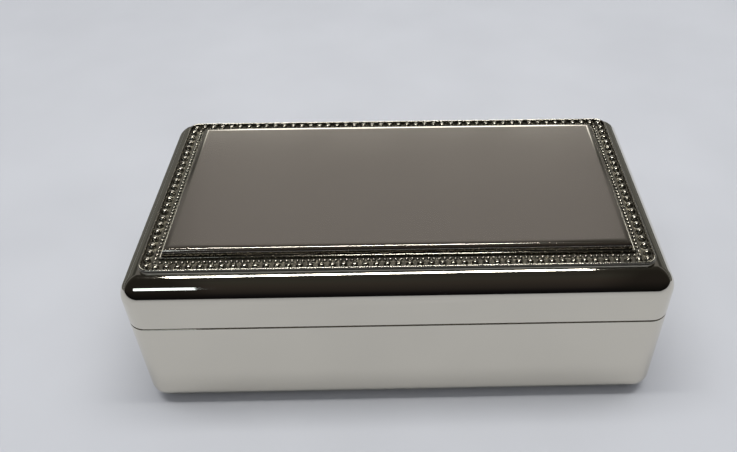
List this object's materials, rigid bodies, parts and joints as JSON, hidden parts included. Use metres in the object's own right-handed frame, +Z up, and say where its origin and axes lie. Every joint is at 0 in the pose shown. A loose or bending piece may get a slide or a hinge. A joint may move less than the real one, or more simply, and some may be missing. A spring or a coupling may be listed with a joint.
{
  "type": "rosary box",
  "caption": "Rectangular mirror-plated metal box with rounded edges, a beaded border round a raised top plate, a concealed back hinge and a velvet lining.",
  "frame": {"origin": "middle of the underside, on the surface that the box stands on", "axes": "+X to the right, -Y to the front, +Z up"},
  "size_m": [0.18, 0.1, 0.0612],
  "materials": {
    "plated_shell": "bright nickel plate, polished to a mirror",
    "plated_panel": "bright nickel plate, polished, slightly satin",
    "plated_border": "cast beading, nickel plated, darkened in the hollows",
    "hinge_metal": "plated steel strip, satin",
    "velvet": "short-pile velvet, charcoal",
    "card": "grey board, matt"
  },
  "bodies": {
    "base": {"base_shell": "plated_shell", "underside_velvet": "velvet", "floor_card": "card", "floor_pad": "velvet", "base_liner_front": "velvet", "base_liner_back": "velvet", "base_liner_left": "velvet", "base_liner_right": "velvet", "hinge_leaf_base": "hinge_metal", "hinge_pin": "hinge_metal"},
    "lid": {"lid_shell": "plated_shell", "top_panel": "plated_panel", "bead_border": "plated_border", "lid_card": "card", "lid_pad": "velvet", "lid_liner_front": "velvet", "lid_liner_back": "velvet", "lid_liner_left": "velvet", "lid_liner_right": "velvet", "hinge_leaf_lid": "hinge_metal"}
  },
  "joints": [
    {"name": "lid_hinge", "type": "hinge", "parent": "base", "child": "lid", "pos_m": [0, 0.0484, 0.03865], "axis": [-1, 0, 0], "range_deg": [0, 100]}
  ]
}
